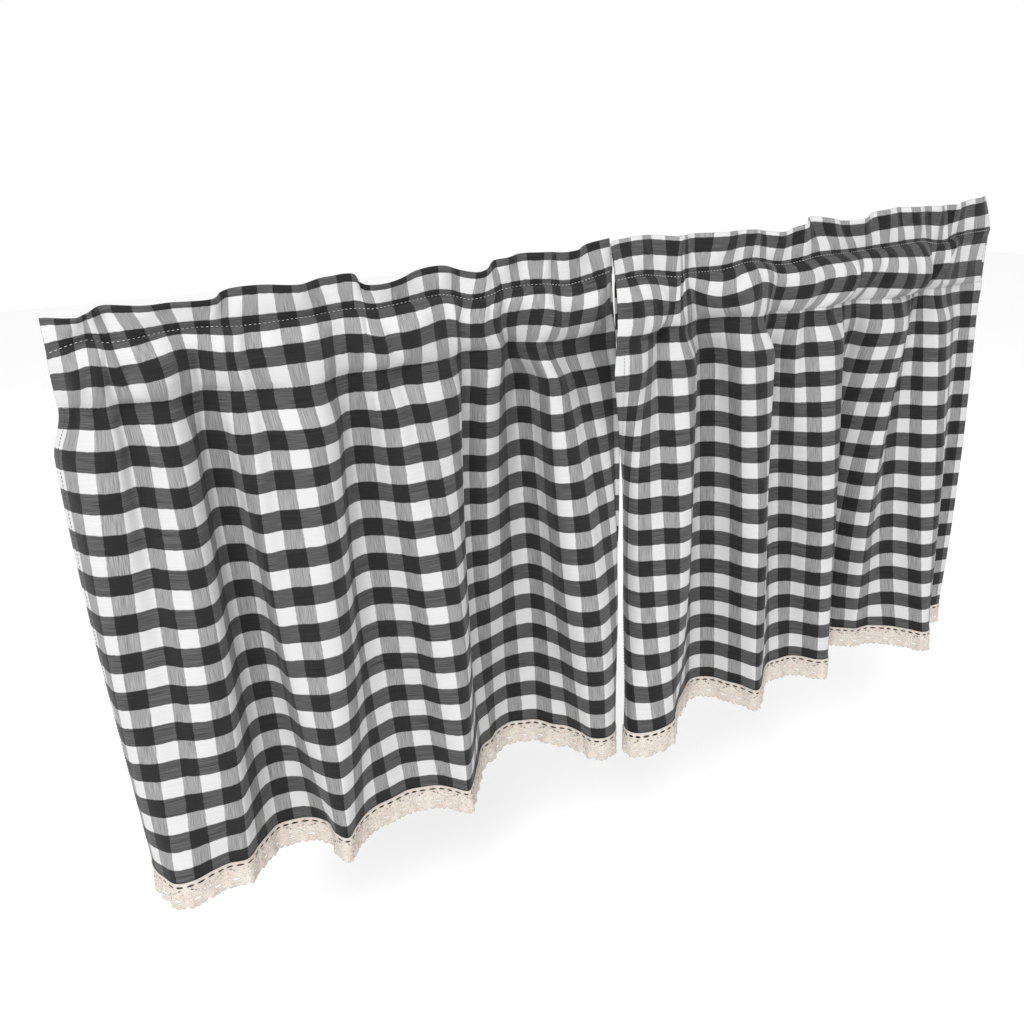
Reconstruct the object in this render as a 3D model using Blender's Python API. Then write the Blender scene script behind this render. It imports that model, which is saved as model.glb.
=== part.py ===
"""A pair of short gathered window valance panels in checked cotton, each with a rod pocket, a ruffled
header and a crocheted lace edging along its hem.  Metres, +Z up, +X along the rod, the room is at -Y."""
import math
import bpy
import bmesh
from mathutils import Vector

MM = 0.001
CHECK = 0.020            # one check of the cloth, as woven
CLOTH = 0.0014           # thickness of one layer of cotton
LACE = 0.0012            # thickness of the crocheted edging
LACE_GAP = 0.0009        # air between the hem and the edging lying on it
TOP_ROW = 1.40           # cloth rows are counted in pairs of checks; this row is at z = 0
ROW = 2 * CHECK          # height of a pair of checks
HEM_ROW = 16.45          # lower edge of the cloth
LACE_TOP_ROW = 16.18
LACE_END_ROW = 16.97
SCALLOP = 0.0025         # depth of the scallops of the edging
FRONT_BULGE = 0.027      # how far the pocket's front layer stands off its middle plane
BACK_BULGE = 0.022
UPPER_CALM = 0.12        # the rod holds the folds at the upper stitching to this share of their depth
LOWER_CALM = 0.50        # and at the lower stitching to this share
TILT = 0.0135            # the lower stitching climbs this much per metre run towards +X

# One row per fold line of the hanging cloth.  check: distance across the flat cloth, in checks.
# top, mid and hem: where that line hangs just under the pocket, half way down and at the hem (mm).
# columns:   check  top_x top_y  mid_x mid_y  hem_x hem_y
LEFT_FOLDS = [
    (0.0, -604, 48, -600, 54, -583, 56),
    (1.0, -599, 34, -598, 38, -588, 40),
    (2.0, -589, 20, -594, 21, -587, 23),
    (3.0, -575, 5, -584, 12, -582, 9),
    (4.0, -558, -2, -565, 7, -573, -7),
    (5.0, -545, 10, -545, 7, -555, -11),
    (6.0, -531, -1, -532, -7, -536, -8),
    (7.0, -522, -13, -515, -16, -518, -7),
    (8.0, -508, -20, -498, -14, -499, -9),
    (9.0, -491, -3, -487, 2, -485, 6),
    (10.0, -484, 14, -477, 23, -471, 20),
    (11.0, -474, 24, -465, 33, -456, 31),
    (12.0, -460, 6, -447, 28, -438, 30),
    (13.0, -456, -12, -441, 10, -420, 21),
    (14.0, -442, -19, -438, -13, -409, 2),
    (15.0, -426, -12, -421, -20, -407, -19),
    (16.0, -412, -24, -403, -28, -398, -33),
    (17.0, -396, -29, -382, -28, -384, -21),
    (18.0, -379, -30, -366, -16, -368, -6),
    (19.0, -360, -18, -355, 0, -350, 4),
    (20.0, -346, 6, -345, 15, -332, 7),
    (21.0, -334, 17, -325, 22, -311, 12),
    (22.0, -318, 5, -307, 12, -294, 8),
    (23.0, -311, -11, -294, -1, -275, 0),
    (24.0, -296, -16, -283, -18, -263, -15),
    (25.0, -278, -8, -262, -23, -251, -29),
    (26.0, -262, -12, -244, -23, -241, -22),
    (28.0, -220, 2, -219, 8, -218, 12),
    (30.0, -200, 34, -203, 45, -195, 46),
    (31.0, -192, 28, -189, 52, -176, 56),
    (32.0, -184, 6, -170, 48, -162, 66),
    (33.0, -166, 12, -150, 55, -139, 74),
    (34.0, -142, 44, -128, 68, -121, 70),
    (35.0, -122, 58, -107, 68, -104, 61),
    (36.0, -111, 42, -98, 50, -93, 41),
    (37.0, -112, 20, -98, 29, -81, 26),
    (38.0, -110, 1, -98, 5, -75, 5),
    (39.0, -97, 1, -86, -10, -71, -13),
    (40.0, -82, 13, -66, -13, -56, -23),
    (41.0, -66, 24, -44, -1, -37, -16),
    (42.0, -50, 26, -27, 6, -25, 0),
    (43.0, -31, 26, -14, 13, -18, 17),
    (44.0, -13, 25, -7, 26, -14, 34),
    (44.7, -3, 24, -2, 25, -10, 42),
]
RIGHT_FOLDS = [
    (0.0, -52, -38, 20, 44, -12, -2),
    (1.0, -33, -40, 9, 30, -18, -17),
    (2.0, -14, -39, 4, 13, -13, -31),
    (3.0, 1, -27, 8, -2, 4, -39),
    (4.0, 18, -13, 23, -9, 24, -40),
    (5.0, 36, 2, 38, -13, 42, -34),
    (6.0, 48, -8, 54, -23, 56, -21),
    (7.0, 65, -14, 74, -19, 71, -7),
    (8.0, 83, -10, 89, -3, 86, 6),
    (10.0, 112, 22, 118, 31, 121, 33),
    (11.0, 129, 38, 135, 37, 140, 33),
    (12.0, 146, 29, 151, 27, 155, 21),
    (13.0, 149, 9, 160, 9, 163, 2),
    (14.0, 151, -12, 162, -12, 171, -15),
    (15.0, 165, -20, 175, -27, 177, -36),
    (16.0, 184, -19, 190, -27, 190, -33),
    (17.0, 204, -14, 202, -16, 204, -20),
    (18.0, 206, 5, 214, -1, 219, -6),
    (19.0, 211, 22, 227, 14, 233, 6),
    (20.0, 226, 22, 241, 25, 248, 14),
    (21.0, 229, 3, 258, 24, 266, 14),
    (22.0, 238, -13, 271, 10, 283, 11),
    (23.0, 257, -7, 279, -8, 296, -1),
    (24.0, 273, -14, 292, -22, 307, -20),
    (25.0, 294, -22, 312, -23, 323, -24),
    (26.0, 315, -17, 328, -13, 336, -6),
    (28.0, 346, 11, 344, 22, 352, 32),
    (30.0, 374, 20, 362, 56, 372, 64),
    (31.0, 371, -4, 377, 51, 388, 68),
    (32.0, 381, -19, 383, 34, 396, 56),
    (33.0, 400, -25, 387, 19, 399, 41),
    (34.0, 418, -24, 395, 1, 411, 27),
    (35.0, 434, -17, 408, -10, 424, 16),
    (36.0, 449, -6, 428, 1, 446, 15),
    (37.0, 463, 7, 452, 17, 465, 5),
    (38.0, 478, 19, 474, 17, 478, -8),
    (39.0, 494, 22, 486, 3, 488, -25),
    (40.0, 501, 13, 494, -13, 496, -42),
    (41.0, 512, -3, 511, -23, 509, -44),
    (42.0, 528, -3, 527, -22, 523, -33),
    (44.0, 560, 11, 562, 3, 554, -6),
    (45.0, 578, 15, 580, 14, 571, 9),
    (46.0, 592, 8, 595, 7, 592, 8),
    (46.6, 600, 3, 603, 3, 600, 8),
]
# Rows of the header's top fold along each panel.  columns:  check  row
LEFT_TOP = [(0, 2.12), (4, 2.08), (10, 2.05), (13, 1.94), (20, 1.80), (24, 1.92), (30, 1.86),
            (37, 1.70), (42, 1.56), (44.7, 1.45)]
RIGHT_TOP = [(0, 1.44), (3, 1.40), (6, 1.50), (14, 1.53), (19, 1.58), (22, 1.42), (30, 1.34), (36, 1.24),
             (41, 1.30), (46.6, 1.06)]
# Where the gathered cloth sits along the rod.  columns:  check  x (mm)
LEFT_ROD = [(0, -597), (4, -555), (8, -513), (12, -463), (16, -415), (20, -348), (24, -303),
            (28, -232), (32, -186), (36, -138), (40, -100), (44, -45), (44.7, -36)]
RIGHT_ROD = [(0, -32), (4, 22), (8, 70), (12, 112), (16, 168), (20, 218), (24, 279), (28, 342),
             (32, 390), (36, 456), (40, 494), (44, 542), (46, 578), (46.6, 590)]
# Body rows at which a ring of points is laid.
BODY_ROWS = [4.5, 5.7, 8.0, 10.8, 13.5, LACE_TOP_ROW, HEM_ROW]
POCKET_SHARES = [0.12, 0.50, 0.88]
STATIONS = 54            # rings of points across each panel
GINGHAM_COLOUR = (0.24, 0.24, 0.24)      # black and white checks, seen from afar
CROCHET_COLOUR = (0.72, 0.65, 0.57)


def spline(rows, column, at):
    """Smooth value of one column of a table at a distance in checks (Catmull-Rom, held inside the rows)."""
    last = len(rows) - 1
    i = 0
    while i < last - 1 and rows[i + 1][0] < at:
        i += 1
    a, b = rows[i], rows[i + 1]
    before = rows[max(i - 1, 0)]
    after = rows[min(i + 2, last)]
    span = b[0] - a[0]
    t = min(max((at - a[0]) / span, 0.0), 1.0)
    slope_a = (b[column] - before[column]) / max(b[0] - before[0], 1e-6) * span
    slope_b = (after[column] - a[column]) / max(after[0] - a[0], 1e-6) * span
    t2, t3 = t * t, t * t * t
    return ((2 * t3 - 3 * t2 + 1) * a[column] + (t3 - 2 * t2 + t) * slope_a
            + (3 * t2 - 2 * t3) * b[column] + (t3 - t2) * slope_b)


def through(three, rows, row):
    """Curve through the values at the three tabled rows."""
    (a, b, c), (p, q, r) = three, rows
    return (a * (row - q) * (row - r) / ((p - q) * (p - r))
            + b * (row - p) * (row - r) / ((q - p) * (q - r))
            + c * (row - p) * (row - q) / ((r - p) * (r - q)))


def height(row):
    return (TOP_ROW - row) * ROW


def fold_point(folds, check, row):
    """Where the middle of the cloth hangs, below the pocket."""
    rows = (5.0, 10.0, 16.0)
    x = through([spline(folds, c, check) for c in (1, 3, 5)], rows, row)
    y = through([spline(folds, c, check) for c in (2, 4, 6)], rows, row)
    return Vector((x * MM, y * MM, height(row)))


def stitch_row(check, x, lower):
    """Rows of the two lines of stitching that close the pocket."""
    return (3.97 if lower else 2.78) - TILT * x / ROW * (1.0 if lower else 1.4)


def seam_point(folds, check, lower):
    """Middle of the cloth on a line of stitching."""
    x = spline(LEFT_ROD if folds is LEFT_FOLDS else RIGHT_ROD, 1, check) * MM
    y = spline(folds, 2, check) * MM
    row = stitch_row(check, x, lower)
    return Vector((x, y * (LOWER_CALM if lower else UPPER_CALM), height(row)))


def pucker(check, phase):
    return math.sin(check * 1.9 + phase) * 0.5 + math.sin(check * 0.83 + 2 * phase) * 0.5


def header_point(folds, tops, check, share, phase):
    """Middle of the doubled header; share runs from 0 at the stitching to 1 at the top fold."""
    seam = seam_point(folds, check, False)
    top = height(spline(tops, 1, check))
    y = seam.y + share * 0.009 * pucker(check, phase)
    return Vector((seam.x, y, seam.z + share * (top - seam.z)))


def pocket_point(folds, check, share, side, phase):
    """Middle of one layer of the pocket; side -1 is the front layer; share 0 is the upper stitching."""
    high = seam_point(folds, check, False)
    low = seam_point(folds, check, True)
    bulge = FRONT_BULGE if side < 0 else BACK_BULGE
    swell = math.sin(math.pi * share) ** 0.75
    ripple = 1.0 + (0.22 if side < 0 else 0.10) * pucker(check, phase + 0.7)
    y = high.y + side * bulge * swell * ripple
    return Vector((high.x, y, high.z + share * (low.z - high.z)))


def across(function, check, ends):
    """Unit vector towards the back of the cloth, square to it."""
    step = 0.12
    a = function(max(check - step, ends[0]))
    b = function(min(check + step, ends[1]))
    tangent = Vector((b.x - a.x, b.y - a.y, 0.0)).normalized()
    return Vector((-tangent.y, tangent.x, 0.0))


def panel_rings(folds, tops, phase):
    """Rings of points down the cloth: (front points, back points, inner front, inner back) per station."""
    first, last = folds[0][0], folds[-1][0]
    stations = [first + (last - first) * i / STATIONS for i in range(STATIONS + 1)]
    ends = (first, last)
    out = []
    half = CLOTH / 2
    for check in stations:
        front, back, inner_front, inner_back = [], [], [], []
        n = across(lambda c: header_point(folds, tops, c, 1.0, phase), check, ends)
        p = header_point(folds, tops, check, 1.0, phase)
        front.append(p - n * CLOTH)
        back.append(p + n * CLOTH)
        n = across(lambda c: seam_point(folds, c, False), check, ends)
        p = seam_point(folds, check, False)
        front.append(p - n * CLOTH)
        back.append(p + n * CLOTH)
        for share in POCKET_SHARES:
            f = pocket_point(folds, check, share, -1, phase)
            b = pocket_point(folds, check, share, 1, phase)
            front.append(f + Vector((0, -half, 0)))
            inner_front.append(f + Vector((0, half, 0)))
            back.append(b + Vector((0, half, 0)))
            inner_back.append(b + Vector((0, -half, 0)))
        n = across(lambda c: seam_point(folds, c, True), check, ends)
        p = seam_point(folds, check, True)
        front.append(p - n * CLOTH)
        back.append(p + n * CLOTH)
        for row in BODY_ROWS:
            n = across(lambda c: fold_point(folds, c, row), check, ends)
            p = fold_point(folds, check, row)
            front.append(p - n * half)
            back.append(p + n * half)
        out.append((front, back, inner_front, inner_back))
    return out


def strip(bm, a, b, turn):
    """Closes the gap between two closed chains of vertices with triangles.  Each chain runs down one face
    of the cloth and, from turn on, up the other; both faces are split along the same diagonal, so that
    the thin cloth keeps its thickness where it twists."""
    count = len(a)
    for i in range(count):
        j = (i + 1) % count
        if i < turn:
            bm.faces.new((a[i], a[j], b[j]))
            bm.faces.new((a[i], b[j], b[i]))
        else:
            bm.faces.new((a[i], a[j], b[i]))
            bm.faces.new((a[j], b[j], b[i]))


def plain_material(name, colour, roughness):
    material = bpy.data.materials.new(name)
    material.use_nodes = True
    shader = material.node_tree.nodes["Principled BSDF"]
    shader.inputs["Base Color"].default_value = (*colour, 1.0)
    shader.inputs["Roughness"].default_value = roughness
    shader.inputs["Metallic"].default_value = 0.0
    return material


def make_object(name, bm, material):
    bmesh.ops.recalc_face_normals(bm, faces=bm.faces)
    mesh = bpy.data.meshes.new(name)
    bm.to_mesh(mesh)
    bm.free()
    mesh.materials.append(material)
    obj = bpy.data.objects.new(name, mesh)
    bpy.context.scene.collection.objects.link(obj)
    return obj


def panel(name, rings, material):
    bm = bmesh.new()
    columns = []
    for front, back, inner_front, inner_back in rings:
        columns.append([[bm.verts.new(p) for p in chain] for chain in (front, back, inner_front, inner_back)])
    outer = [c[0] + c[1][::-1] for c in columns]
    inner = [c[2] + c[3][::-1] for c in columns]
    for loop in (outer, inner):
        for a, b in zip(loop[:-1], loop[1:]):
            strip(bm, a, b, len(a) // 2)
    top = 1
    shares = len(POCKET_SHARES)
    for front, back, inner_front, inner_back in (columns[0], columns[-1]):
        bottom = top + shares + 1
        for i in range(top):
            bm.faces.new((front[i], front[i + 1], back[i + 1], back[i]))
        bm.faces.new((front[top], front[top + 1], inner_front[0], inner_back[0], back[top + 1], back[top]))
        for i in range(shares - 1):
            bm.faces.new((front[top + 1 + i], front[top + 2 + i], inner_front[i + 1], inner_front[i]))
            bm.faces.new((back[top + 1 + i], back[top + 2 + i], inner_back[i + 1], inner_back[i]))
        bm.faces.new((front[bottom - 1], front[bottom], back[bottom], back[bottom - 1],
                      inner_back[-1], inner_front[-1]))
        for i in range(bottom, len(front) - 1):
            bm.faces.new((front[i], front[i + 1], back[i + 1], back[i]))
    return make_object(name, bm, material)


def lace(name, rings, material):
    """The edging lies on the front of the hem and hangs a little below it."""
    bm = bmesh.new()
    chains = []
    count = 2 * (len(rings) - 1) + 1
    lines = []
    hems = [front[-1] for front, _, _, _ in rings]
    for k, (front, _, _, _) in enumerate(rings):
        upper, hem = front[-2], front[-1]
        before = (hems[k] - hems[max(k - 1, 0)]) if k else (hems[1] - hems[0])
        after = (hems[min(k + 1, len(hems) - 1)] - hems[k]) if k < len(hems) - 1 else before
        side_a = Vector((before.y, -before.x, 0)).normalized()
        side_b = Vector((after.y, -after.x, 0)).normalized()
        normal = (side_a + side_b).normalized()
        normal = normal / max(normal.dot(side_a), 0.55)
        lines.append((upper, hem, normal))
    for i in range(count):
        a = lines[i // 2]
        b = lines[min(i // 2 + 1, len(lines) - 1)]
        t = 0.5 * (i % 2)
        upper, hem, normal = (a[k].lerp(b[k], t) for k in range(3))
        drop = height(LACE_END_ROW) + SCALLOP * (1.0 if i % 3 == 0 else 0.0)
        end = Vector((hem.x, hem.y, drop))
        near = LACE_GAP
        far = LACE_GAP + LACE
        ring = [upper + normal * near, hem + normal * near, end + normal * near,
                end + normal * far, hem + normal * far, upper + normal * far]
        chains.append([bm.verts.new(p) for p in ring])
    for a, b in zip(chains[:-1], chains[1:]):
        strip(bm, a, b, len(a) // 2)
    for ring in (chains[0], chains[-1]):
        bm.faces.new((ring[0], ring[1], ring[4], ring[5]))
        bm.faces.new((ring[1], ring[2], ring[3], ring[4]))
    return make_object(name, bm, material)


for old in list(bpy.data.objects):
    bpy.data.objects.remove(old, do_unlink=True)

left = panel_rings(LEFT_FOLDS, LEFT_TOP, 0.4)
right = panel_rings(RIGHT_FOLDS, RIGHT_TOP, 2.3)
for side, rings in (("left", left), ("right", right)):
    panel("panel_" + side, rings, plain_material("gingham_" + side, GINGHAM_COLOUR, 0.9))
    lace("lace_" + side, rings, plain_material("crochet_" + side, CROCHET_COLOUR, 0.85))
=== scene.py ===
"""The looks of the window valance: two gathered gingham panels with a crocheted edging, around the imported
frame.  Metres; +X runs along the rod, the room is at -Y, z = 0 is the header's top edge at the middle."""
import math
import bpy
import numpy as np
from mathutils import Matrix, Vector
from mathutils.geometry import delaunay_2d_cdt


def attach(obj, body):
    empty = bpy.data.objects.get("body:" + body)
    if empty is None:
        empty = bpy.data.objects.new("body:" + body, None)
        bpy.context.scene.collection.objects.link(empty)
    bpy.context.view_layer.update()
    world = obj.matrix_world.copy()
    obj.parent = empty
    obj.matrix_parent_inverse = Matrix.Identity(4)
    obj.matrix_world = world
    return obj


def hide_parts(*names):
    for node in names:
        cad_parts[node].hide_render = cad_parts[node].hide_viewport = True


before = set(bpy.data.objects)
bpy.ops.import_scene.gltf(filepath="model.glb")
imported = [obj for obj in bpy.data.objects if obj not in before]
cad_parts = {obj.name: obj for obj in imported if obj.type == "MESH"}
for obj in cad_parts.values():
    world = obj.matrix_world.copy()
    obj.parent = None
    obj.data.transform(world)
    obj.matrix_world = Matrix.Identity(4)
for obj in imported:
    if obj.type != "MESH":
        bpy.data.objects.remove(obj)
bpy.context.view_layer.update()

MM = 0.001
CHECK = 0.020            # one check of the cloth
ROW = 2 * CHECK          # a pair of checks
TOP_ROW = 1.40           # this row is at z = 0
HEM_ROW = 16.64          # lower edge of the cloth
LACE_TOP_ROW = 16.36     # upper edge of the crocheted edging
CLOTH = 0.0006           # thickness of the woven cotton
LAYER = 0.0008           # spacing of two layers sewn on each other
SIDE_HEM = 0.75          # width of the side hems, in checks
DOUBLED = 1.3            # layers that the doubled heading's cloths lie from its middle
TURNED = 2.4             # layers that the turned bottom hem lies behind the cloth
HEM_TURN = 0.45          # height of the bottom hem's turning, in rows
POCKET_BULGE = 0.018     # how far the pocket's front stands off
BACK_BULGE = 0.013       # and its back
UPPER_CALM = 0.12        # share of the folds' depth left at the upper stitching
LOWER_CALM = 0.50        # and at the lower stitching
RELEASE = 1.3            # rows below the pocket over which the folds reach their full depth
PLAN_ROWS = (5.0, 10.0, 16.0)    # rows at which the folds are tabled
POCKET_MIDDLE = 0.45     # share of the pocket's height at which its middle is tabled
FADE_ROW = 6.5           # by this row the cloth's own rows and the height in rows agree
RUFFLE = 0.009           # depth of the ruffle's waves at the top fold
TUCKS = 0.0032           # depth of the small tucks just under the pocket
UNEVEN = 0.0011          # and of two finer kinds of unevenness further down
CREASES = 0.0006
NOISE_CELLS = 96         # size of the table behind the smooth noise
TINY = 1e-9              # keeps a length from being zero before a division

# Length, gap and radius of the stitches.
UPPER_STITCH = (0.0027, 0.0016, 0.00028)
LOWER_STITCH = (0.0027, 0.0014, 0.00026)
SIDE_STITCH = (0.0026, 0.0014, 0.00024)
SIDE_STITCH_AT = 0.62    # distance of the side hems' stitching from the edge, in checks

LACE_OFF = 0.0011        # from the cloth's middle to the edging's middle
LACE_THICK = 0.0007
YARN = 0.00042           # radius of the edging's raised yarns
HOLE_LIFT = 0.0003       # how far they stand off the net: round the openings and in the fans,
CORD_LIFT = 0.0004       # along the cords
EDGE_LIFT = 0.0002       # and along the scalloped edge
CORDS = (0.5, 6.9, 17.6)     # how far down the cords run (mm)
MOTIFS = {"left": 20, "right": 21}
MOTIF = 44.0             # the pattern is drawn in millimetres on a motif this wide
SCALLOP = MOTIF / 2      # it has two scallops
SCALLOP_MIDDLES = (SCALLOP / 2, MOTIF - SCALLOP / 2)

# One row per fold line of the hanging cloth.  check: distance across the flat cloth, in checks.
# top, mid and hem: where that line hangs just under the pocket, half way down and at the hem (mm).
# Most of these places were measured on the photograph by scratch programs and copied here; the hidden
# stretches are estimates.
# columns:   check  top_x top_y  mid_x mid_y  hem_x hem_y
LEFT_FOLDS = [
    (0.0, -604, 48, -600, 54, -583, 56),
    (1.0, -599, 34, -598, 38, -588, 40),
    (2.0, -589, 20, -594, 21, -587, 23),
    (3.0, -575, 5, -584, 12, -582, 9),
    (4.0, -558, -2, -565, 7, -573, -7),
    (5.0, -545, 10, -545, 7, -555, -11),
    (6.0, -531, -1, -532, -7, -536, -8),
    (7.0, -522, -13, -515, -16, -518, -7),
    (8.0, -508, -20, -498, -14, -499, -9),
    (9.0, -491, -3, -487, 2, -485, 6),
    (10.0, -484, 14, -477, 23, -471, 20),
    (11.0, -474, 24, -465, 33, -456, 31),
    (12.0, -460, 6, -447, 28, -438, 30),
    (13.0, -456, -12, -441, 10, -420, 21),
    (14.0, -442, -19, -438, -13, -409, 2),
    (15.0, -426, -12, -421, -20, -407, -19),
    (16.0, -412, -24, -403, -28, -398, -33),
    (17.0, -396, -29, -382, -28, -384, -21),
    (18.0, -379, -30, -366, -16, -368, -6),
    (19.0, -360, -18, -355, 0, -350, 4),
    (20.0, -346, 6, -345, 15, -332, 7),
    (21.0, -334, 17, -325, 22, -311, 12),
    (22.0, -318, 5, -307, 12, -294, 8),
    (23.0, -311, -11, -294, -1, -275, 0),
    (24.0, -296, -16, -283, -18, -263, -15),
    (25.0, -278, -8, -262, -23, -251, -29),
    (26.0, -262, -12, -244, -23, -241, -22),
    (28.0, -220, 2, -219, 8, -218, 12),
    (30.0, -200, 34, -203, 45, -195, 46),
    (31.0, -192, 28, -189, 52, -176, 56),
    (32.0, -184, 6, -170, 48, -162, 66),
    (33.0, -166, 12, -150, 55, -139, 74),
    (34.0, -142, 44, -128, 68, -121, 70),
    (35.0, -122, 58, -107, 68, -104, 61),
    (36.0, -111, 42, -98, 50, -93, 41),
    (37.0, -112, 20, -98, 29, -81, 26),
    (38.0, -110, 1, -98, 5, -75, 5),
    (39.0, -97, 1, -86, -10, -71, -13),
    (40.0, -82, 13, -66, -13, -56, -23),
    (41.0, -66, 24, -44, -1, -37, -16),
    (42.0, -50, 26, -27, 6, -25, 0),
    (43.0, -31, 26, -14, 13, -18, 17),
    (44.0, -13, 25, -7, 26, -14, 34),
    (44.7, -3, 24, -2, 25, -10, 42),
]
RIGHT_FOLDS = [
    (0.0, -52, -38, 20, 44, -12, -2),
    (1.0, -33, -40, 9, 30, -18, -17),
    (2.0, -14, -39, 4, 13, -13, -31),
    (3.0, 1, -27, 8, -2, 4, -39),
    (4.0, 18, -13, 23, -9, 24, -40),
    (5.0, 36, 2, 38, -13, 42, -34),
    (6.0, 48, -8, 54, -23, 56, -21),
    (7.0, 65, -14, 74, -19, 71, -7),
    (8.0, 83, -10, 89, -3, 86, 6),
    (10.0, 112, 22, 118, 31, 121, 33),
    (11.0, 129, 38, 135, 37, 140, 33),
    (12.0, 146, 29, 151, 27, 155, 21),
    (13.0, 149, 9, 160, 9, 163, 2),
    (14.0, 151, -12, 162, -12, 171, -15),
    (15.0, 165, -20, 175, -27, 177, -36),
    (16.0, 184, -19, 190, -27, 190, -33),
    (17.0, 204, -14, 202, -16, 204, -20),
    (18.0, 206, 5, 214, -1, 219, -6),
    (19.0, 211, 22, 227, 14, 233, 6),
    (20.0, 226, 22, 241, 25, 248, 14),
    (21.0, 229, 3, 258, 24, 266, 14),
    (22.0, 238, -13, 271, 10, 283, 11),
    (23.0, 257, -7, 279, -8, 296, -1),
    (24.0, 273, -14, 292, -22, 307, -20),
    (25.0, 294, -22, 312, -23, 323, -24),
    (26.0, 315, -17, 328, -13, 336, -6),
    (28.0, 346, 11, 344, 22, 352, 32),
    (30.0, 374, 20, 362, 56, 372, 64),
    (31.0, 371, -4, 377, 51, 388, 68),
    (32.0, 381, -19, 383, 34, 396, 56),
    (33.0, 400, -25, 387, 19, 399, 41),
    (34.0, 418, -24, 395, 1, 411, 27),
    (35.0, 434, -17, 408, -10, 424, 16),
    (36.0, 449, -6, 428, 1, 446, 15),
    (37.0, 463, 7, 452, 17, 465, 5),
    (38.0, 478, 19, 474, 17, 478, -8),
    (39.0, 494, 22, 486, 3, 488, -25),
    (40.0, 501, 13, 494, -13, 496, -42),
    (41.0, 512, -3, 511, -23, 509, -44),
    (42.0, 528, -3, 527, -22, 523, -33),
    (44.0, 560, 11, 562, 3, 554, -6),
    (45.0, 578, 15, 580, 14, 571, 9),
    (46.0, 592, 8, 595, 7, 592, 8),
    (46.6, 600, 3, 603, 3, 600, 8),
]
# How the same lines run through the heading, in mm along the rod and in rows of height.  top: the ruffle's
# upper fold; upper: the upper stitching; middle: the pocket's front; lower: the lower stitching.
# A scratch program worked these out from points read off the photograph; about every third of its rows is
# kept, rounded by hand.
# columns:   check  top_x top_row  upper_x upper_row  middle_x middle_row  lower_x lower_row
LEFT_HEADING = [
    (0.0, -597, 2.10, -597, 2.80, -597, 3.30, -595, 4.05),
    (3.0, -566, 2.10, -566, 2.60, -568, 3.10, -570, 4.05),
    (6.0, -552, 1.95, -546, 2.70, -544, 3.20, -536, 4.05),
    (9.0, -510, 2.00, -502, 2.60, -500, 3.00, -496, 4.05),
    (12.0, -460, 2.00, -462, 2.60, -466, 3.10, -463, 4.05),
    (15.0, -430, 1.80, -434, 2.65, -438, 3.15, -430, 4.10),
    (19.0, -373, 1.85, -367, 2.60, -369, 3.10, -365, 4.15),
    (22.0, -325, 1.75, -325, 2.55, -327, 3.10, -322, 4.10),
    (24.0, -308, 2.05, -304, 2.60, -306, 3.20, -300, 4.05),
    (28.0, -236, 1.75, -236, 2.45, -238, 3.00, -228, 4.05),
    (31.0, -193, 2.00, -198, 2.65, -208, 3.20, -198, 4.00),
    (34.0, -168, 1.75, -162, 2.50, -170, 3.10, -152, 4.00),
    (38.0, -116, 1.65, -118, 2.45, -126, 3.00, -126, 3.95),
    (41.0, -86, 1.70, -82, 2.55, -88, 3.20, -86, 4.05),
    (44.7, -31, 1.45, -26, 2.30, -27, 3.00, -15, 4.00),
]
RIGHT_HEADING = [
    (0.0, -34, 1.55, -27, 2.55, -30, 3.20, -36, 4.15),
    (3.0, 10, 1.45, 11, 2.50, 10, 3.15, 10, 4.15),
    (6.0, 58, 1.55, 58, 2.65, 48, 3.30, 48, 4.05),
    (10.0, 78, 1.55, 78, 2.60, 70, 3.00, 92, 4.10),
    (13.0, 132, 1.55, 125, 2.60, 115, 3.30, 138, 4.00),
    (16.0, 172, 1.55, 169, 2.45, 170, 3.00, 176, 4.05),
    (20.0, 225, 1.70, 220, 2.65, 218, 3.25, 226, 4.10),
    (24.0, 268, 1.35, 280, 2.50, 290, 3.10, 272, 4.05),
    (28.0, 330, 1.55, 346, 2.50, 348, 3.05, 338, 4.05),
    (32.0, 398, 1.30, 400, 2.45, 390, 3.10, 388, 4.05),
    (36.0, 448, 1.30, 460, 2.40, 460, 3.25, 448, 4.05),
    (40.0, 512, 1.35, 508, 2.55, 490, 3.00, 490, 4.00),
    (43.0, 530, 1.30, 530, 2.35, 512, 3.00, 524, 4.00),
    (46.6, 590, 1.10, 602, 2.25, 592, 3.05, 599, 4.00),
]
# The cloth's own rows at the top fold and at the two lines of stitching, at each panel's left and right
# end.
OWN_ROWS = {
    "left": {"fold": (1.30, 1.30), "upper": (2.28, 2.12), "lower": (4.00, 4.00)},
    "right": {"fold": (0.88, 0.80), "upper": (2.19, 2.12), "lower": (4.15, 3.70)},
}


def smooth(rows, column, at):
    """Smooth values of one column of a table at distances in checks (Catmull-Rom)."""
    rows = np.asarray(rows, float)
    at = np.asarray(at, float)
    key = rows[:, 0]
    last = len(key) - 1
    i = np.clip(np.searchsorted(key, at) - 1, 0, last - 1)
    before = np.maximum(i - 1, 0)
    after = np.minimum(i + 2, last)
    start, end = rows[i, column], rows[i + 1, column]
    span = key[i + 1] - key[i]
    t = np.clip((at - key[i]) / span, 0.0, 1.0)
    slope_a = (end - rows[before, column]) / (key[i + 1] - key[before]) * span
    slope_b = (rows[after, column] - start) / (key[after] - key[i]) * span
    return ((2 * t**3 - 3 * t**2 + 1) * start + (t**3 - 2 * t**2 + t) * slope_a
            + (3 * t**2 - 2 * t**3) * end + (t**3 - t**2) * slope_b)


def ease(t):
    """Rises smoothly from 0 to 1 and stays there."""
    t = np.clip(t, 0.0, 1.0)
    return t * t * (3 - 2 * t)


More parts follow.
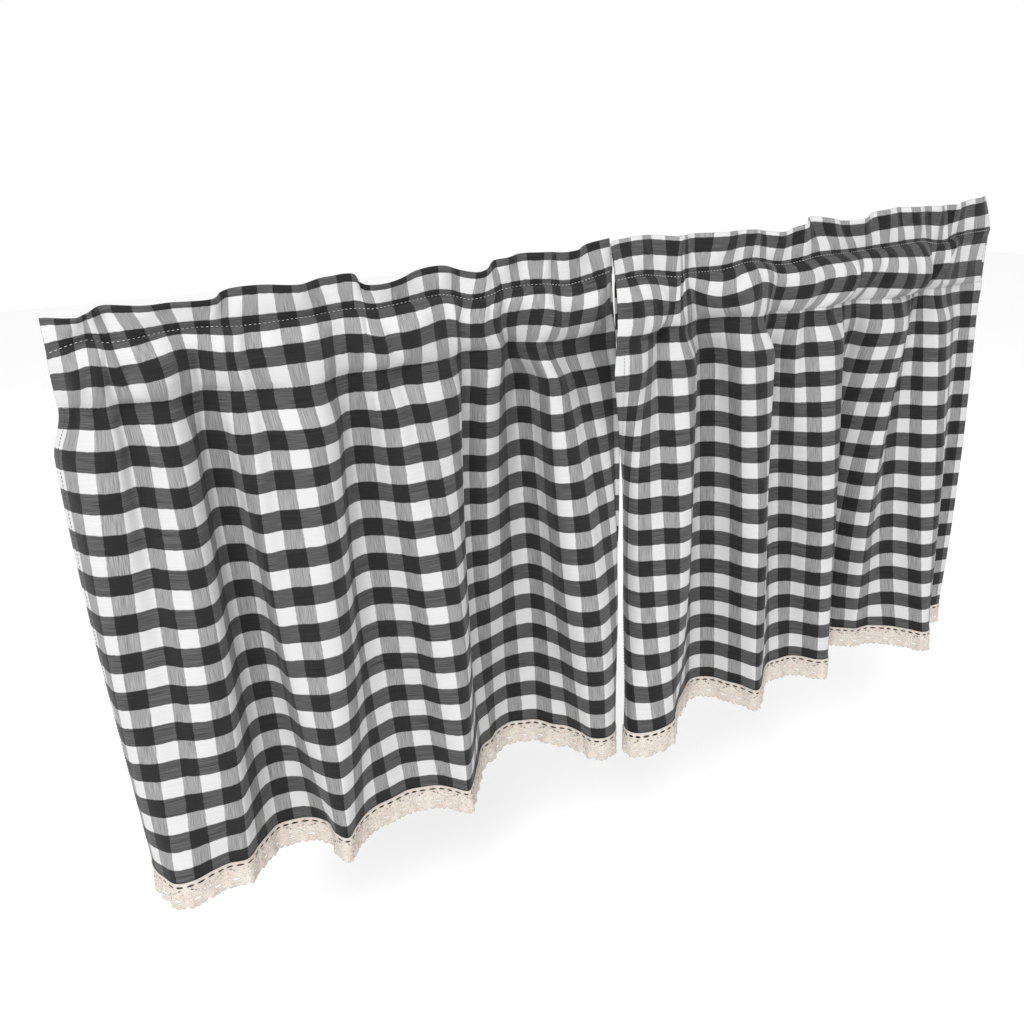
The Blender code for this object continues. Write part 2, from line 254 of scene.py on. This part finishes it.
def through(three, row):
    """Curve through the three values tabled at PLAN_ROWS."""
    a, b, c = three
    p, q, r = PLAN_ROWS
    return (a * (row - q) * (row - r) / ((p - q) * (p - r))
            + b * (row - p) * (row - r) / ((q - p) * (q - r))
            + c * (row - p) * (row - q) / ((r - p) * (r - q)))


def height(row):
    """Height in metres of a row."""
    return (TOP_ROW - row) * ROW


def bumps(u, v, seed):
    """Smooth noise from -1 to 1 with a cell of one unit."""
    grid = np.random.default_rng(seed).uniform(-1, 1, (NOISE_CELLS, NOISE_CELLS))
    u, v = np.broadcast_arrays(np.asarray(u, float) + 8.0, np.asarray(v, float) + 8.0)
    i, j = np.floor(u).astype(int), np.floor(v).astype(int)
    s, t = ease(u - i), ease(v - j)
    i, j = i % (NOISE_CELLS - 1), j % (NOISE_CELLS - 1)
    low = grid[i, j] * (1 - s) + grid[i + 1, j] * s
    high = grid[i, j + 1] * (1 - s) + grid[i + 1, j + 1] * s
    return low * (1 - t) + high * t


class Cloth:
    """The plan of one panel: where each check of the flat cloth hangs."""

    def __init__(self, side, folds, heading, seed):
        self.side = side
        self.folds = folds
        self.heading = heading
        self.seed = seed
        self.own = OWN_ROWS[side]
        self.width = folds[-1][0]

    def between(self, key, check):
        """The cloth's own row of one of its marks, from one end of the panel to the other."""
        left, right = self.own[key]
        return left + (right - left) * np.asarray(check) / self.width

    def seam_row(self, check, lower):
        return smooth(self.heading, 8 if lower else 4, check)

    def seam(self, check, lower):
        x = smooth(self.heading, 7 if lower else 3, check) * MM
        y = smooth(self.folds, 2, check) * MM * (LOWER_CALM if lower else UPPER_CALM)
        y = y + 0.0012 * bumps(check * 1.3, 4.0, self.seed + (1 if lower else 2))
        return x, y, height(self.seam_row(check, lower))

    def cloth_row(self, check, row):
        """The cloth's own row at a height in rows below the pocket."""
        low = self.seam_row(check, True)
        offset = self.between("lower", check) - low
        faded = offset * (1 - ease((row - low) / (FADE_ROW - low)))
        return row + faded - 0.5 * np.maximum(row - LACE_TOP_ROW, 0.0)

    def body(self, check, row):
        """Middle of the cloth at a height in rows below the pocket."""
        x = through([smooth(self.folds, c, check) for c in (1, 3, 5)], row) * MM
        y = through([smooth(self.folds, c, check) for c in (2, 4, 6)], row) * MM
        seam_x, seam_y, _ = self.seam(check, True)
        drop = np.maximum(row - self.seam_row(check, True), 0.0)
        share = ease(drop / RELEASE)
        x = seam_x + (x - seam_x) * share
        y = seam_y + (y - seam_y) * share
        gather = np.exp(-drop / 0.8) * np.minimum(drop / 0.12, 1.0)
        y = y + TUCKS * gather * bumps(check * 1.15, drop * 0.4, self.seed + 3)
        y = y + UNEVEN * share * bumps(check * 0.55, row * 0.28, self.seed + 4)
        y = y + CREASES * share * bumps(check * 1.3, row * 0.7, self.seed + 5)
        return x, y, height(row) + 0 * x

    def header(self, check, share):
        """Middle of the doubled ruffle; share runs from 0 at the stitching to 1 at the top fold."""
        x0, y0, z0 = self.seam(check, False)
        x1 = smooth(self.heading, 1, check) * MM
        z1 = height(smooth(self.heading, 2, check))
        wave = np.sin(check * 1.9 + self.seed) * 0.5 + np.sin(check * 0.83 + 2 * self.seed) * 0.5
        y1 = y0 + RUFFLE * wave + 0.002 * bumps(check * 0.9, 1.0, self.seed + 6)
        y = y0 + (y1 - y0) * share + 0.0022 * share * bumps(check * 1.2, share * 2, self.seed + 7)
        return x0 + (x1 - x0) * ease(share), y, z0 + (z1 - z0) * share

    def pocket(self, check, share, front):
        """Middle of one layer of the pocket; share runs from 0 at the upper stitching to 1 at the lower."""
        x0, y0, z0 = self.seam(check, False)
        x2, y2, z2 = self.seam(check, True)
        m = POCKET_MIDDLE
        x1 = smooth(self.heading, 5, check) * MM if front else x0 + (x2 - x0) * m
        z1 = height(smooth(self.heading, 6, check)) if front else z0 + (z2 - z0) * m
        first = (share - m) * (share - 1) / m
        second = share * (share - 1) / (m * (m - 1))
        third = share * (share - m) / (1 - m)
        x = x0 * first + x1 * second + x2 * third
        z = z0 * first + z1 * second + z2 * third
        swell = np.sin(np.pi * np.clip(share, 0, 1)) ** 0.6
        broad = 0.45 * bumps(check * 0.5, share, self.seed + 8)
        narrow = 0.28 * bumps(check * 1.1, share * 1.6, self.seed + 9)
        uneven = 1 + broad + narrow
        ends = 0.12 + 0.88 * ease(np.minimum(check, self.width - check) / 1.6)
        bulge = (-POCKET_BULGE if front else BACK_BULGE) * swell * uneven * ends
        return x, y0 + (y2 - y0) * share + bulge, z


def square_to(x, y):
    """Unit vectors towards the back, square to a line of points seen from above."""
    dx, dy = np.gradient(x), np.gradient(y)
    size = np.maximum(np.hypot(dx, dy), TINY)
    return -dy / size, dx / size


def columns_of(cloth):
    """The side hems are turned to the back at both ends."""
    turn = [(SIDE_HEM, 1.0), (SIDE_HEM * 0.66, 1.0), (SIDE_HEM * 0.33, 1.0)]
    turn += [(0.06, 0.9), (0.0, 0.5), (0.05, 0.08)]
    hidden = 4           # this many of them lie past the fold of the hem
    inset = 0.2
    spacing = 0.165
    span = cloth.width - 2 * inset
    count = int(round(span / spacing))
    middle = [inset + span * i / count for i in range(count + 1)]
    left = [(-c if k < hidden else c, c, d) for k, (c, d) in enumerate(turn)]
    right = [(cloth.width + (c if k < hidden else -c), cloth.width - c, d) for k, (c, d) in enumerate(turn)]
    return np.array(left + [(c, c, 0.0) for c in middle] + right[::-1])


def rings_of(cloth):
    """Rings down the cloth from the pocket's back edge over the top fold to the turned hem.
    Each is (function, layers behind, cloth's own row)."""
    rings = []
    between = cloth.between

    def add(place, layer, own):
        rings.append((place, layer, own))

    for share in np.linspace(1.0, 0.0, 10):
        add(lambda c, s=share: cloth.pocket(c, s, False), DOUBLED,
            lambda c, s=share: 2 * between("fold", c) - between("upper", c)
            - s * (between("lower", c) - between("upper", c)))
    for share in np.linspace(0.0, 0.97, 10)[1:]:
        add(lambda c, s=share: cloth.header(c, s), DOUBLED * min(1.0, (1 - share) / 0.1),
            lambda c, s=share: 2 * between("fold", c) - between("upper", c)
            + s * (between("upper", c) - between("fold", c)))
    add(lambda c: cloth.header(c, 1.0), 0.0, lambda c: between("fold", c))
    for share in np.linspace(0.97, 0.0, 22):
        add(lambda c, s=share: cloth.header(c, s), -DOUBLED * min(1.0, (1 - share) / 0.1),
            lambda c, s=share: between("upper", c) + s * (between("fold", c) - between("upper", c)))
    for share in np.linspace(0.0, 1.0, 24)[1:]:
        add(lambda c, s=share: cloth.pocket(c, s, True), -DOUBLED * (1 - share),
            lambda c, s=share: between("upper", c) + s * (between("lower", c) - between("upper", c)))
    crowded = 0.16       # share of the body, under the pocket, where the rings lie closer
    near = np.linspace(0.0, 1.0, 13)[1:] ** 1.3 * crowded
    far = np.linspace(crowded, 1.0, 56)[1:]
    for step in np.concatenate([near, far]):
        def row_at(c, t=step):
            low = cloth.seam_row(c, True)
            return low + (HEM_ROW - low) * t
        add(lambda c, f=row_at: cloth.body(c, f(c)), 0.0, lambda c, f=row_at: cloth.cloth_row(c, f(c)))
    for rise in (0.02, 0.12, 0.25, 0.36, HEM_TURN):
        add(lambda c, h=rise: cloth.body(c, HEM_ROW - h + 0 * c), TURNED,
            lambda c, h=rise: (HEM_ROW + LACE_TOP_ROW) / 2 + h + 0 * c)
    return rings


def grid_object(name, points, uv, material):
    """A mesh from a grid of points, with its flat cloth's checks as the texture map."""
    rows, cols, _ = points.shape
    index = np.arange(rows * cols).reshape(rows, cols)
    quads = np.stack([index[:-1, :-1], index[1:, :-1], index[1:, 1:], index[:-1, 1:]], -1).reshape(-1, 4)
    mesh = bpy.data.meshes.new(name)
    mesh.from_pydata(points.reshape(-1, 3).tolist(), [], quads.tolist())
    layer = mesh.uv_layers.new(name="flat_cloth")
    layer.data.foreach_set("uv", uv.reshape(-1, 2)[quads.reshape(-1)].ravel())
    mesh.polygons.foreach_set("use_smooth", [True] * len(quads))
    mesh.materials.append(material)
    obj = bpy.data.objects.new(name, mesh)
    bpy.context.scene.collection.objects.link(obj)
    return obj


def thicken(obj, thickness):
    """Gives a sheet its thickness, half on each side."""
    solid = obj.modifiers.new("thickness", "SOLIDIFY")
    solid.thickness = thickness
    solid.offset = 0.0
    solid.use_even_offset = False
    return obj


def make_panel(cloth, material):
    """One panel as one continuous sheet, laid on its rings and columns."""
    shown, check, behind = columns_of(cloth).T
    points, uv = [], []
    for place, layer, own in rings_of(cloth):
        x, y, z = place(check)
        nx, ny = square_to(*smooth_line(x, y, check))
        # a back layer's side hem turns forwards and any other backwards; in the heading they flatten
        # where the layers meet
        inward = -1.0 if layer > 0 else 1.0
        in_heading = abs(z[0]) < TOP_ROW * ROW
        opened = min(abs(layer) / DOUBLED, 1.0) if in_heading else 1.0
        depth = layer * LAYER + behind * LAYER * inward * opened
        points.append(np.stack([x + nx * depth, y + ny * depth, z + 0 * x], -1))
        uv.append(np.stack([shown, 2 * own(check)], -1))
    obj = grid_object("panel_" + cloth.side + "_cloth", np.array(points), np.array(uv), material)
    return thicken(obj, CLOTH)


def smooth_line(x, y, check):
    """The same line laid out so that a turned hem does not reverse its direction."""
    order = np.argsort(check, kind="stable")
    apart = np.arange(len(x)) * 1e-5       # keeps two columns at the same check from coinciding
    along = check[order] + apart
    gx, gy = np.empty_like(x), np.empty_like(y)
    gx[order] = np.gradient(x[order], along)
    gy[order] = np.gradient(y[order], along)
    return np.cumsum(gx), np.cumsum(gy)


class Nodes:
    """A short way to write a shader's nodes."""

    def __init__(self, name):
        self.material = bpy.data.materials.new(name)
        self.material.use_nodes = True
        self.tree = self.material.node_tree
        self.shader = self.tree.nodes["Principled BSDF"]

    def add(self, kind, inputs=(), output=0, **settings):
        node = self.tree.nodes.new(kind)
        for key, value in settings.items():
            setattr(node, key, value)
        for key, value in dict(inputs).items():
            self.put(node.inputs[key], value)
        return node.outputs[output]

    def put(self, socket, value):
        if isinstance(value, bpy.types.NodeSocket):
            self.tree.links.new(value, socket)
        else:
            socket.default_value = value

    def math(self, operation, a, b=0.0, clamp=False):
        return self.add("ShaderNodeMath", {0: a, 1: b}, operation=operation, use_clamp=clamp)

    def noise(self, vector, scale, detail=2.0):
        return self.add("ShaderNodeTexNoise", {"Vector": vector, "Scale": scale, "Detail": detail})

    def stretched(self, u, v, across, along):
        scaled = {0: self.math("MULTIPLY", u, across), 1: self.math("MULTIPLY", v, along)}
        return self.add("ShaderNodeCombineXYZ", scaled)

    def mix(self, share, a, b):
        return self.add("ShaderNodeMix", {0: share, 6: a, 7: b}, output=2, data_type="RGBA")

    def spread(self, value, low, high, to_low, to_high):
        return self.add("ShaderNodeMapRange", {0: value, 1: low, 2: high, 3: to_low, 4: to_high})


def grey(value, warm=0.0):
    return (value * (1 + warm), value, value * (1 - warm), 1.0)


def gingham():
    """Yarn-dyed plain weave.  Texture units are checks: dark warp on odd checks across, dark weft on even
    checks down."""
    n = Nodes("gingham_cotton")
    flat = n.add("ShaderNodeUVMap", uv_map="flat_cloth")
    parts = n.tree.nodes.new("ShaderNodeSeparateXYZ")
    n.put(parts.inputs[0], flat)
    u, v = parts.outputs[0], parts.outputs[1]
    # the edges of the checks waver by a thread or two
    waver_u = n.math("MULTIPLY", n.math("SUBTRACT", n.noise(n.stretched(u, v, 1.0, 2.2), 1.0), 0.5), 0.10)
    waver_v = n.math("MULTIPLY", n.math("SUBTRACT", n.noise(n.stretched(u, v, 2.2, 1.0), 1.0), 0.5), 0.10)
    half_u = n.math("MULTIPLY", n.math("ADD", n.math("ADD", u, waver_u), 200.0), 0.5)
    half_v = n.math("MULTIPLY", n.math("ADD", n.math("ADD", v, waver_v), 201.0), 0.5)
    edge = 0.012
    warp_phase = n.math("FRACT", half_u)
    weft_phase = n.math("FRACT", half_v)
    warp = band(n, warp_phase, edge)
    weft = band(n, weft_phase, edge)
    # slubs: streaks along the yarns, each as long as a check or more
    warp_slub = n.noise(n.stretched(u, v, 34.0, 0.9), 1.0, 3.0)
    weft_slub = n.noise(n.stretched(u, v, 0.55, 40.0), 1.0, 3.0)
    light = n.mix(n.spread(warp_slub, 0.30, 0.70, 0.0, 1.0), grey(0.12), grey(0.32))
    dark = n.mix(n.spread(weft_slub, 0.30, 0.70, 0.0, 1.0), grey(0.012), grey(0.105))
    white = n.mix(n.spread(weft_slub, 0.25, 0.75, 0.0, 1.0), grey(0.47), grey(0.54))
    black = n.mix(n.spread(weft_slub, 0.35, 0.75, 0.0, 1.0), grey(0.004), grey(0.018))
    upper = n.mix(warp, white, light)
    lower = n.mix(warp, dark, black)
    colour = n.mix(weft, upper, lower)
    # single threads: warp and weft pass over each other; painted shade makes the colour lighter on the
    # raised crossings and darker in the dips between the threads
    threads_u = n.math("SINE", n.math("MULTIPLY", u, math.pi * 44))
    threads_v = n.math("SINE", n.math("MULTIPLY", v, math.pi * 40))
    weave = n.math("MULTIPLY", threads_u, threads_v)
    painted_weave_shade = n.spread(weave, -1.0, 1.0, 0.93, 1.07)
    colour = n.add("ShaderNodeVectorMath", {0: colour, 3: painted_weave_shade}, operation="SCALE")
    n.put(n.shader.inputs["Base Color"], colour)
    relief = n.math("ADD", n.math("MULTIPLY", weave, 0.5), n.math("ADD", warp_slub, weft_slub))
    bump = n.add("ShaderNodeBump", {"Strength": 0.35, "Distance": 0.0003, "Height": relief})
    n.put(n.shader.inputs["Normal"], bump)
    n.put(n.shader.inputs["Roughness"], n.spread(warp_slub, 0.3, 0.7, 0.82, 0.95))
    n.shader.inputs["Specular IOR Level"].default_value = 0.25
    n.shader.inputs["Sheen Weight"].default_value = 0.08
    n.shader.inputs["Sheen Roughness"].default_value = 0.5
    return n.material


def band(n, phase, edge):
    """1 on the second half of a pair of checks, with soft edges."""
    rise = n.spread(phase, 0.5 - edge, 0.5 + edge, 0.0, 1.0)
    first = n.spread(phase, 0.0, edge, 1.0, 0.0)
    return n.math("MAXIMUM", rise, first)


def crochet():
    """Cream cotton yarn, mottled, with a twisted strand's fine relief and painted shade in the gaps between
    its knots.
    """
    n = Nodes("crochet_lace")
    place = n.add("ShaderNodeTexCoord", output=3)
    mottle = n.noise(place, 55.0, 3.0)
    fine = n.noise(place, 900.0, 4.0)
    gap_depth_and_painted_shade = n.add("ShaderNodeTexVoronoi", {"Vector": place, "Scale": 620.0})
    warm = n.mix(n.spread(mottle, 0.35, 0.68, 0.0, 1.0), (0.57, 0.50, 0.455, 1.0), (0.61, 0.575, 0.51, 1.0))
    # painted shade: the yarn's colour darkens towards the gaps between the knots, where the relief is
    # lowest
    colour = n.mix(n.spread(gap_depth_and_painted_shade, 0.1, 0.75, 0.0, 0.35), warm, (0.36, 0.31, 0.27, 1.0))
    n.put(n.shader.inputs["Base Color"], colour)
    relief = n.math("SUBTRACT", n.math("MULTIPLY", fine, 0.4), gap_depth_and_painted_shade)
    bump = n.add("ShaderNodeBump", {"Strength": 0.8, "Distance": 0.0006, "Height": relief})
    n.put(n.shader.inputs["Normal"], bump)
    n.put(n.shader.inputs["Roughness"], n.spread(fine, 0.3, 0.7, 0.78, 0.92))
    n.shader.inputs["Specular IOR Level"].default_value = 0.3
    n.shader.inputs["Sheen Weight"].default_value = 0.1
    return n.material


def thread_material(name, value):
    """Plain sewing thread of one grey."""
    n = Nodes(name)
    place = n.add("ShaderNodeTexCoord", output=3)
    ply = n.noise(place, 1500.0)
    n.put(n.shader.inputs["Base Color"], n.mix(ply, grey(value * 0.7), grey(value * 1.2)))
    n.put(n.shader.inputs["Roughness"], n.spread(ply, 0.3, 0.7, 0.55, 0.8))
    return n.material


def tube(paths, radius, sides=5):
    """Vertices and faces of closed tubes along several paths of points."""
    verts, faces = [], []
    for path in paths:
        path = np.asarray(path, float)
        along = np.gradient(path, axis=0)
        along /= np.maximum(np.linalg.norm(along, axis=1, keepdims=True), TINY)
        side = np.cross(along, np.array([0.13, -0.97, 0.2]))
        side /= np.maximum(np.linalg.norm(side, axis=1, keepdims=True), TINY)
        other = np.cross(along, side)
        start = len(verts)
        for k in range(len(path)):
            swell = 0.55 if k in (0, len(path) - 1) else 1.0
            for i in range(sides):
                a = 2 * math.pi * i / sides
                verts.append(path[k] + radius * swell * (math.cos(a) * side[k] + math.sin(a) * other[k]))
        for k in range(len(path) - 1):
            for i in range(sides):
                j = (i + 1) % sides
                a, b = start + k * sides, start + (k + 1) * sides
                faces.append((a + i, b + i, b + j, a + j))
        faces.append(tuple(start + i for i in range(sides)))
        end = start + (len(path) - 1) * sides
        faces.append(tuple(end + sides - 1 - i for i in range(sides)))
    return verts, faces


def mesh_object(name, verts, faces, material, smooth_faces=True):
    """A linked object from vertices and faces."""
    mesh = bpy.data.meshes.new(name)
    mesh.from_pydata([tuple(map(float, p)) for p in verts], [], faces)
    mesh.polygons.foreach_set("use_smooth", [smooth_faces] * len(faces))
    mesh.materials.append(material)
    obj = bpy.data.objects.new(name, mesh)
    bpy.context.scene.collection.objects.link(obj)
    return obj


def stitches(line, front, length, gap, radius):
    """Short threads that lie on a line of points, each diving into the cloth at both ends."""
    line = np.asarray(line, float)
    step = np.linalg.norm(np.diff(line, axis=0), axis=1)
    run = np.concatenate([[0], np.cumsum(step)])
    paths = []
    at = 0.001
    while at + length < run[-1]:
        marks = at + length * np.array([0.0, 0.25, 0.5, 0.75, 1.0])
        lift = np.array([-0.35, 0.8, 1.15, 0.8, -0.35]) * radius
        path = np.stack([np.interp(marks, run, line[:, k]) + lift * np.interp(marks, run, front[:, k])
                         for k in range(3)], -1)
        paths.append(path)
        at += length + gap
    return tube(paths, radius, 5)


def surface_line(cloth, place, check, layer, lift):
    """Points on the cloth's front along one line, and the directions out of it."""
    x, y, z = place(check)
    nx, ny = square_to(x, y)
    depth = layer * LAYER - CLOTH / 2 - lift
    points = np.stack([x + nx * depth, y + ny * depth, z + 0 * x], -1)
    return points, np.stack([-nx, -ny, 0 * nx], -1)


def make_seams(cloth, light, dark):
    """The two lines of stitching across the panel and one along each side hem; the lower line and the side
    hems' stitches are near-black, which also paints the shadow along the lower seam and the hems' fold
    edges.
    """
    check = np.linspace(0.1, cloth.width - 0.1, 1400)
    line, out = surface_line(cloth, lambda c: cloth.header(c, 0.0), check, -DOUBLED, 0.0)
    verts, faces = stitches(line, out, *UPPER_STITCH)
    upper = mesh_object("stitching_upper_" + cloth.side, verts, faces, light)
    line, out = surface_line(cloth, lambda c: cloth.body(c, cloth.seam_row(c, True)), check, 0.0, 0.0)
    verts, faces = stitches(line, out, *LOWER_STITCH)
    lower = mesh_object("stitching_lower_" + cloth.side, verts, faces, dark)
    pieces = [upper, lower]
    count = 500
    for end, at in (("first", SIDE_STITCH_AT), ("last", cloth.width - SIDE_STITCH_AT)):
        rows = np.linspace(float(cloth.seam_row(at, True)) + 0.05, LACE_TOP_ROW - 0.02, count)
        near = [cloth.body(np.full(count, at + step), rows) for step in (-0.1, 0.0, 0.1)]
        dx, dy = near[2][0] - near[0][0], near[2][1] - near[0][1]
        size = np.maximum(np.hypot(dx, dy), TINY)
        out = np.stack([dy / size, -dx / size, 0 * dx], -1)
        verts, faces = stitches(np.stack(near[1], -1) + out * CLOTH / 2, out, *SIDE_STITCH)
        pieces.append(mesh_object("stitching_" + end + "_hem_" + cloth.side, verts, faces, dark))
    return pieces


def edge_drop(s):
    """How far down the scalloped edge reaches (mm), at s mm along a motif of two scallops."""
    s = np.asarray(s, float)
    arch = np.abs(np.sin(np.pi * s / SCALLOP)) ** 0.7
    lobe = np.abs(np.sin(3 * np.pi * s / SCALLOP))
    return 27.2 + 3.2 * arch + 1.9 * lobe


def oval(cx, cy, rx, ry, turn=0.0, count=8):
    """Points of an ellipse with its long way turned."""
    out = []
    cosine, sine = math.cos(turn), math.sin(turn)
    for i in range(count):
        a = 2 * math.pi * (i + 0.5) / count
        x, y = rx * math.cos(a), ry * math.sin(a)
        out.append((cx + x * cosine - y * sine, cy + x * sine + y * cosine))
    return out


def motif_holes():
    """Outlines of the openings of one motif: slots under the top cord, a V of small ones, and the fans'."""
    holes = []
    for k in range(4):
        holes.append(oval(5.5 + 11 * k, 4.2, 4.2, 1.6, 0.0, 10))
    for sign in (-1, 1):
        for k in range(4):
            holes.append(oval(SCALLOP + sign * (2.6 + 4.3 * k), 15.0 - 2.3 * k, 2.0, 1.0, -sign * 0.5, 7))
        for k in range(2):
            holes.append(oval(SCALLOP + sign * (15.5 + 2.6 * k), 14.6 - 2.3 * k, 1.2, 0.75, sign * 0.5, 6))
    for x in (19.6, 24.4):
        holes.append(oval(x, 9.3, 1.3, 0.8, 0.0, 6))
    for scallop in SCALLOP_MIDDLES:
        holes.append(oval(scallop, 21.6, 4.3, 1.5, 0.0, 10))
        for sign in (-1, 1):
            holes.append(oval(scallop + sign * 7.6, 19.6, 1.3, 0.8, sign * 0.6, 6))
            holes.append(oval(scallop + sign * 3.6, 27.0, 0.9, 0.65, 0.0, 6))
        holes.append(oval(scallop, 27.6, 0.9, 0.65, 0.0, 6))
    return holes


def motif_mesh():
    """Flat triangles of one motif, from its outline, its openings and points in between."""
    points, edges = [], []

    def ring(outline):
        start = len(points)
        points.extend(outline)
        edges.extend((start + i, start + (i + 1) % len(outline)) for i in range(len(outline)))

    side = [2.4 * k for k in range(1, 11)]
    across = np.linspace(0, MOTIF, 45)
    outline = [(float(s), 0.0) for s in across]
    outline += [(MOTIF, t) for t in side]
    outline += [(float(s), float(edge_drop(s))) for s in across[::-1]]
    outline += [(0.0, t) for t in side[::-1]]
    ring(outline)
    holes = motif_holes()
    for hole in holes:
        ring(hole)
    columns = 18
    rows = 12
    spacing = 2.45       # from row to row of the points that fill the net (mm)
    clear = 0.9          # no two points lie closer than this
    for i in range(1, columns):
        for j in range(1, rows):
            p = (i * MOTIF / columns, j * spacing)
            near = min(math.hypot(p[0] - q[0], p[1] - q[1]) for q in points)
            if near > clear and p[1] < edge_drop(p[0]) - 1.0 and not any(inside(p, h) for h in holes):
                points.append(p)
    result = delaunay_2d_cdt([Vector(p) for p in points], edges, [], 0, 1e-5)
    flat = [tuple(p) for p in result[0]]
    triangles = []
    for face in result[2]:
        centre = tuple(sum(flat[i][k] for i in face) / 3 for k in range(2))
        if inside(centre, outline) and not any(inside(centre, h) for h in holes):
            triangles.append(tuple(face))
    return np.array(flat), triangles, holes


def inside(point, outline):
    """Whether a point lies inside a closed outline."""
    x, y = point
    result = False
    for (ax, ay), (bx, by) in zip(outline, outline[1:] + outline[:1]):
        if (ay > y) != (by > y) and x < (bx - ax) * (y - ay) / (by - ay) + ax:
            result = not result
    return result


def on_hem(cloth, along, down, lift):
    """Places the edging's flat pattern (metres along and down) on the front of the hem."""
    check = np.clip(along / CHECK, 0.02, cloth.width - 0.02)
    row = LACE_TOP_ROW + down / ROW
    held = np.minimum(row, HEM_ROW)
    step = 0.15
    x, y, z = cloth.body(check, held)
    ax, ay, _ = cloth.body(np.maximum(check - step, 0.0), held)
    bx, by, _ = cloth.body(np.minimum(check + step, cloth.width), held)
    dx, dy = bx - ax, by - ay
    size = np.maximum(np.hypot(dx, dy), TINY)
    free = np.maximum(row - HEM_ROW, 0.0) * ROW
    wave = 0.0016 * np.sin(along / 0.022 * 2 * np.pi) * (free / 0.02)
    flare = wave + 0.001 * bumps(along / 0.03, 2.0, cloth.seed + 11)
    depth = LACE_OFF + lift + np.maximum(flare, -0.0008) * np.minimum(free / 0.004, 1.0)
    return np.stack([x + dy / size * depth, y - dx / size * depth, z - free], -1)


def make_lace(cloth, material):
    """The edging: a net of repeated motifs, with yarns raised round its openings and along its cords."""
    flat, triangles, holes = motif_mesh()
    count = MOTIFS[cloth.side]
    width = cloth.width * CHECK / count
    scale = np.array([width / MOTIF, MM])
    verts, faces = [], []
    for k in range(count):
        start = sum(len(v) for v in verts)
        place = flat * scale + np.array([k * width, 0.0])
        verts.append(on_hem(cloth, place[:, 0], place[:, 1], 0.0))
        faces.extend(tuple(i + start for i in face) for face in triangles)
    base = mesh_object("lace_" + cloth.side + "_net", np.concatenate(verts), faces, material)
    thicken(base, LACE_THICK)
    weld = base.modifiers.new("join", "WELD")
    weld.merge_threshold = 0.0001
    base.modifiers.move(1, 0)
    paths = []

    def draw(outline, k, lift, closed):
        flat_line = outline + outline[:1] if closed else outline
        line = np.array(flat_line, float) * scale + np.array([k * width, 0.0])
        paths.append(on_hem(cloth, line[:, 0], line[:, 1], lift))

    for k in range(count):
        for hole in holes:
            draw(hole, k, HOLE_LIFT, True)
        for t in CORDS:
            draw([(s, t) for s in np.linspace(0, MOTIF, 23)], k, CORD_LIFT, False)
        draw([(s, float(edge_drop(s)) - 0.4) for s in np.linspace(0, MOTIF, 49)], k, EDGE_LIFT, False)
        for scallop in SCALLOP_MIDDLES:
            for turn in np.linspace(-1.25, 1.25, 9):
                sine, cosine = math.sin(turn), math.cos(turn)
                reach = float(edge_drop(scallop + 9.6 * sine)) - 1.4
                low = (scallop + 9.6 * sine, min(reach, 19.0 + 10.5 * cosine))
                high = (scallop + 5.4 * sine, 21.6 + 2.4 * cosine)
                middle = ((low[0] + high[0]) / 2, (low[1] + high[1]) / 2)
                draw([high, middle, low], k, HOLE_LIFT, False)
    yarn_verts, yarn_faces = tube(paths, YARN, 4)
    yarn = mesh_object("lace_" + cloth.side + "_yarn", yarn_verts, yarn_faces, material)
    return base, yarn


def make_stage():
    """A wide pale floor below the object."""
    n = Nodes("pale_floor")
    place = n.add("ShaderNodeTexCoord", output=3)
    tone = n.mix(n.noise(place, 2.0), grey(0.93), grey(0.95))
    n.put(n.shader.inputs["Base Color"], tone)
    n.shader.inputs["Roughness"].default_value = 0.9
    level = -1.05
    half = 9.0
    corners = [(-half, -half, level), (half, -half, level), (half, half, level), (-half, half, level)]
    floor = mesh_object("floor", corners, [(0, 1, 2, 3)], n.material, False)


def area_light(name, place, target, size, power):
    """A round lamp that points at its target."""
    data = bpy.data.lights.new(name, "AREA")
    data.shape = "DISK"
    data.size = size
    data.energy = power
    obj = bpy.data.objects.new(name, data)
    obj.location = place
    obj.rotation_euler = (Vector(target) - Vector(place)).to_track_quat("-Z", "Y").to_euler()
    bpy.context.scene.collection.objects.link(obj)


def make_light():
    """White surroundings and one soft key light from the front left."""
    scene = bpy.context.scene
    world = bpy.data.worlds.new("studio")
    world.use_nodes = True
    background = world.node_tree.nodes["Background"]
    background.inputs["Color"].default_value = grey(1.0)
    background.inputs["Strength"].default_value = 1.0
    scene.world = world
    area_light("key", (-1.9, -2.2, 2.0), (0.0, 0.0, -0.3), 1.2, 105.0)
    scene.view_settings.view_transform = "Standard"


def make_camera():
    """The photograph's camera, as a scratch program solved it from the rows and columns of checks."""
    data = bpy.data.cameras.new("camera")
    data.lens = 35.046
    data.sensor_width = 36.0
    obj = bpy.data.objects.new("camera", data)
    obj.location = (-0.66520, -0.90671, 0.08559)
    obj.rotation_euler = tuple(math.radians(a) for a in (70.291, 2.066, -29.722))
    bpy.context.scene.collection.objects.link(obj)
    bpy.context.scene.camera = obj


make_stage()
make_light()
make_camera()
cotton = gingham()
yarn_look = crochet()
light_thread = thread_material("light_thread", 0.62)
# near-black thread: also painted shadow along the lower seam and the side hems' fold edges
dark_thread_and_seam_shadow = thread_material("dark_thread_and_seam_shadow", 0.02)
for plan in (Cloth("left", LEFT_FOLDS, LEFT_HEADING, 20), Cloth("right", RIGHT_FOLDS, RIGHT_HEADING, 50)):
    sheet = make_panel(plan, cotton)
    seams = make_seams(plan, light_thread, dark_thread_and_seam_shadow)
    net, yarn = make_lace(plan, yarn_look)
    for piece in [sheet, net, yarn] + seams:
        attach(piece, "root")
    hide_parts("panel_" + plan.side)
    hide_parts("lace_" + plan.side)
